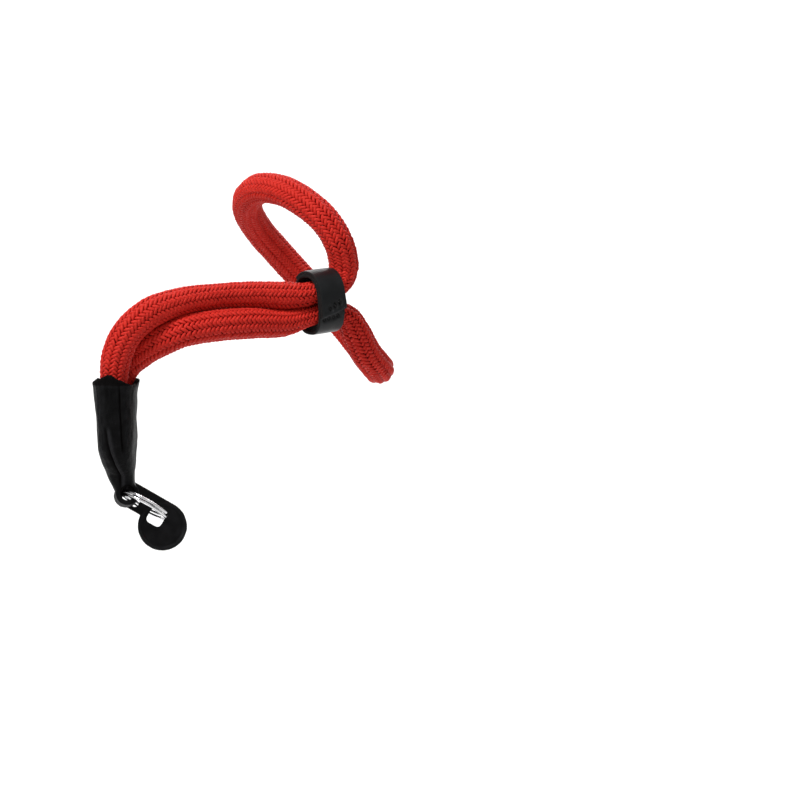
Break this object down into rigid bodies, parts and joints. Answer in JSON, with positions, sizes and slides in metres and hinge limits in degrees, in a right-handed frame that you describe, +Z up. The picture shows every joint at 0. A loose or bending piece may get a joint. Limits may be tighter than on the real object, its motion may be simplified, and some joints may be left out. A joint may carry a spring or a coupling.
{
  "type": "camera wrist strap",
  "caption": "Thick braided rope doubled into a wrist loop, with a leather end cap, leather slider, split ring and leather lug pad.",
  "frame": {"origin": "middle of the hollow for the wrist, where the strap is worn", "axes": "+Z up along the worn strap's longest extent, from the lug pad to the top of the wrist loop; -Y towards the side that shows the slider"},
  "size_m": [0.0844, 0.0891, 0.106],
  "materials": {
    "red_rope": "braided nylon, satin",
    "black_leather": "smooth leather, low sheen",
    "steel": "bright nickel plating"
  },
  "bodies": {
    "root": {"rope": "red_rope", "end_cap": "black_leather", "slider": "black_leather"},
    "ring": {"split_ring": "steel", "lug_pad": "black_leather"}
  },
  "joints": [
    {"name": "ring_swing", "type": "hinge", "parent": "root", "child": "ring", "pos_m": [-0.05097, -0.048, -0.05602], "axis": [-0.1545, 0.9511, -0.2676], "range_deg": [-40, 140]}
  ]
}
